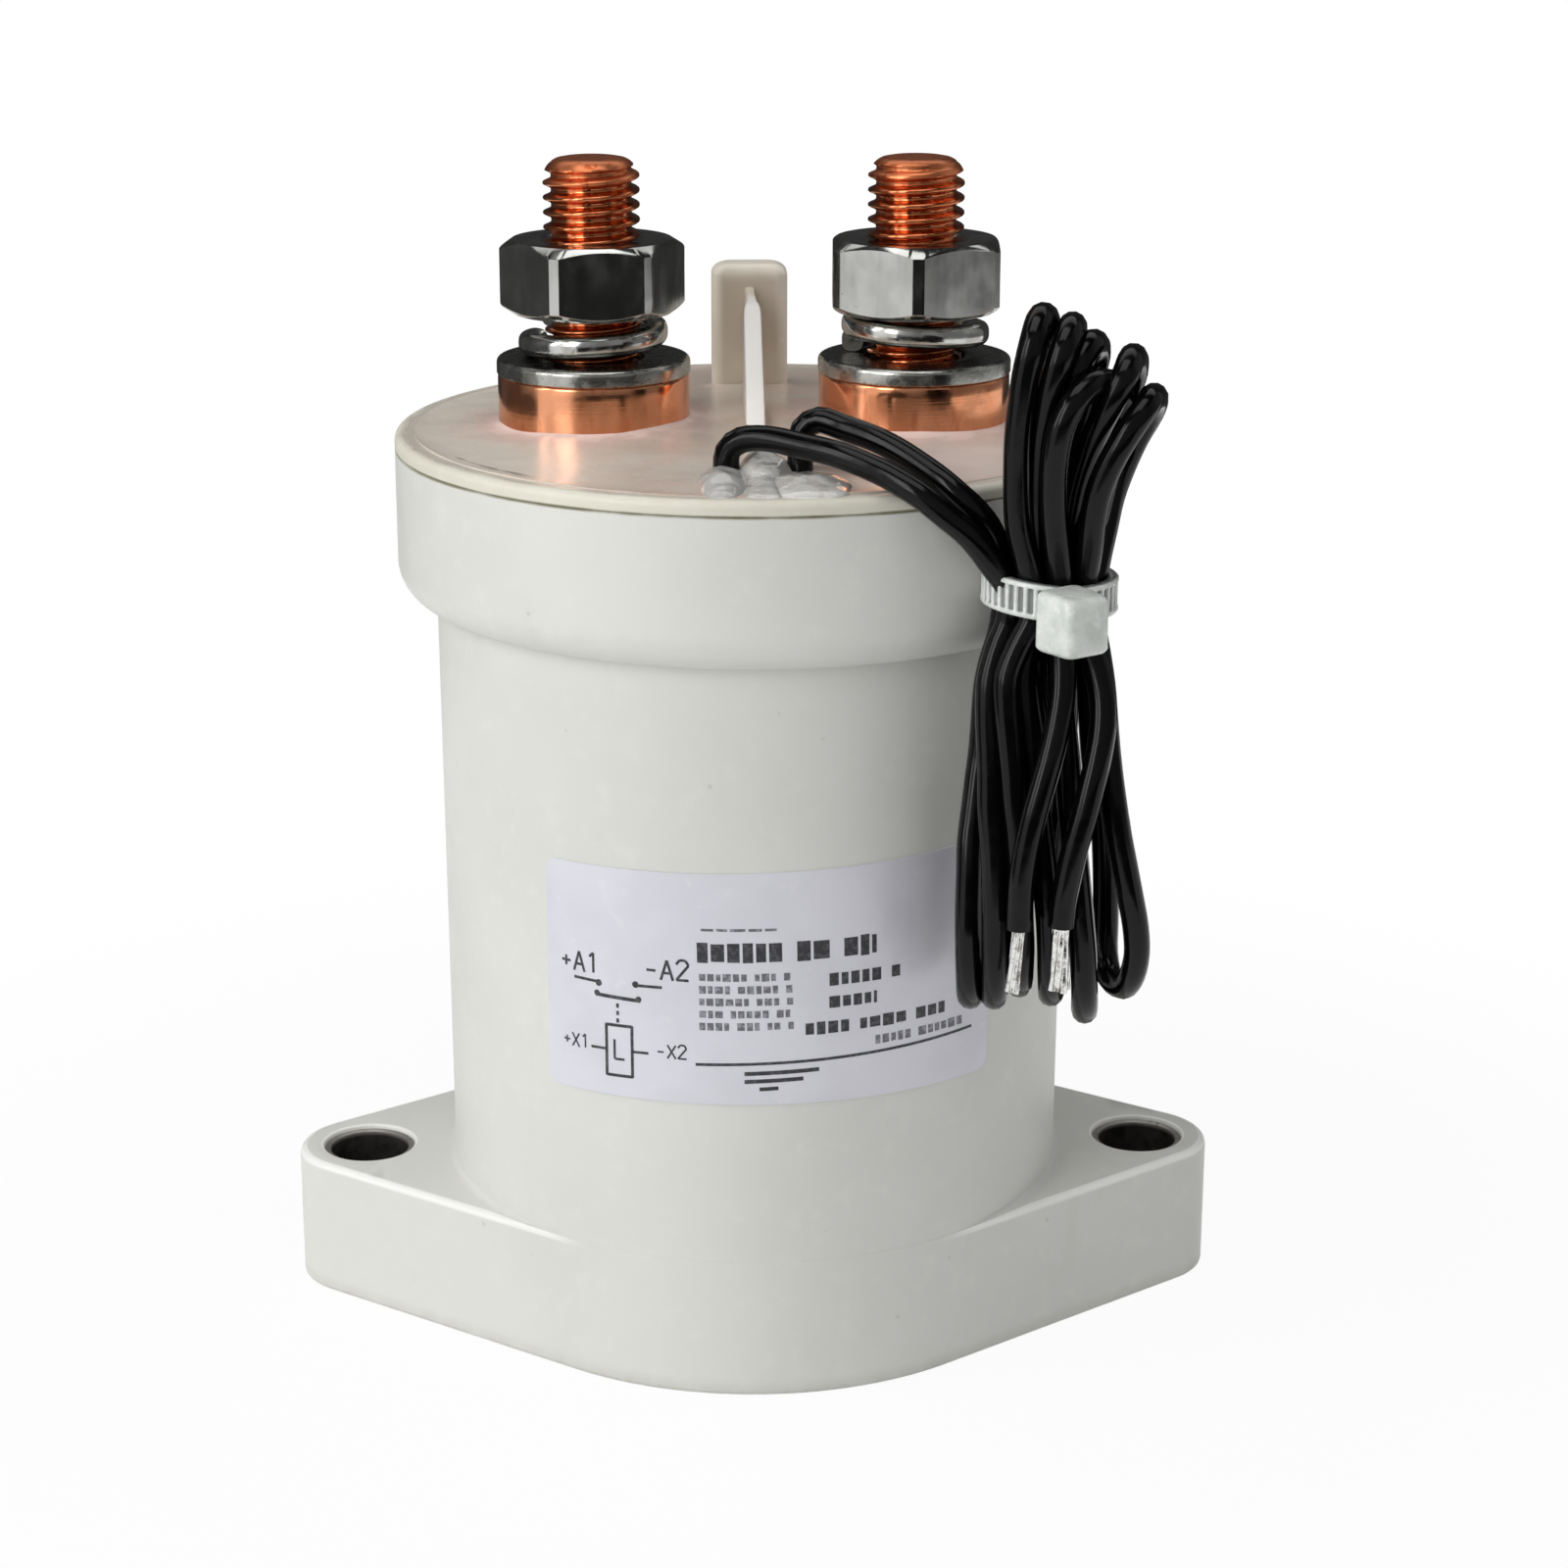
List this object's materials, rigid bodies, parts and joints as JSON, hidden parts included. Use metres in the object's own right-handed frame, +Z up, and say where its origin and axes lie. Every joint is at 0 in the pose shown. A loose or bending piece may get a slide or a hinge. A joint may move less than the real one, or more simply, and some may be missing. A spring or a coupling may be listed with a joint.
{
  "type": "dc contactor",
  "caption": "Sealed direct-current contactor: round housing on a two-hole foot, threaded copper terminals with washers and nuts, and coil leads tied in a hank.",
  "frame": {"origin": "centre of the foot's underside, below the housing's axis", "axes": "+Z up along the housing's axis, +X through both terminals and both foot holes, -Y to the front, where the label and the coil leads are"},
  "size_m": [0.1002, 0.0838, 0.1227],
  "materials": {
    "housing_plastic": "satin moulded polyester, ivory grey",
    "barrier_plastic": "satin moulded plastic, warm grey",
    "potting_resin": "glossy cast resin",
    "seal_compound": "soft grey sealing compound",
    "copper": "turned copper, polished",
    "zinc_steel": "zinc plated steel",
    "dark_steel": "blackened steel bush",
    "soft_iron": "nickel plated soft iron",
    "spring_steel": "spring wire",
    "ceramic_white": "fired ceramic",
    "magnet_black": "sintered ferrite",
    "coil_copper": "enamelled copper winding",
    "bobbin_plastic": "moulded bobbin",
    "label_film": "printed film, pale",
    "lead_insulation": "glossy black insulation",
    "tie_nylon": "translucent nylon",
    "tinned_copper": "tinned strands"
  },
  "bodies": {
    "base": {"housing": "housing_plastic", "rim_ring": "housing_plastic", "cover_barrier": "barrier_plastic", "potting": "potting_resin", "seal_dab_1": "seal_compound", "seal_dab_2": "seal_compound", "mounting_bush_left": "dark_steel", "mounting_bush_right": "dark_steel", "terminal_left": "copper", "terminal_right": "copper", "flat_washer_left": "zinc_steel", "flat_washer_right": "zinc_steel", "spring_washer_left": "zinc_steel", "spring_washer_right": "zinc_steel", "hex_nut_left": "zinc_steel", "hex_nut_right": "zinc_steel", "ceramic_chamber": "ceramic_white", "weld_ring": "soft_iron", "arc_tray": "ceramic_white", "gas_tube": "copper", "magnet_front": "magnet_black", "magnet_back": "magnet_black", "magnet_ring": "soft_iron", "return_spring": "spring_steel", "fixed_core": "soft_iron", "core_sleeve": "soft_iron", "yoke_plate": "soft_iron", "yoke_frame": "soft_iron", "bobbin": "bobbin_plastic", "coil_winding": "coil_copper", "label": "label_film", "lead_1": "lead_insulation", "lead_2": "lead_insulation", "lead_hank": "lead_insulation", "cable_tie": "tie_nylon", "lead_end_1": "tinned_copper", "lead_end_2": "tinned_copper"},
    "armature": {"armature_shaft": "soft_iron", "plunger": "soft_iron", "retaining_clip": "spring_steel", "contact_spring": "spring_steel"},
    "bridge": {"contact_bridge": "copper"}
  },
  "joints": [
    {"name": "armature_slide", "type": "slide", "parent": "base", "child": "armature", "axis": [0, 0, 1], "range_m": [0, 0.0028], "stiffness_N_per_m": 1500, "springref_m": -0.004, "deforming": ["return_spring"]},
    {"name": "bridge_slide", "type": "slide", "parent": "armature", "child": "bridge", "axis": [0, 0, 1], "range_m": [-0.00083, 0], "deforming": ["contact_spring"]}
  ],
  "couplings": [
    {"joint": "bridge_slide", "follows": "armature_slide", "ratio": -0.29286}
  ]
}
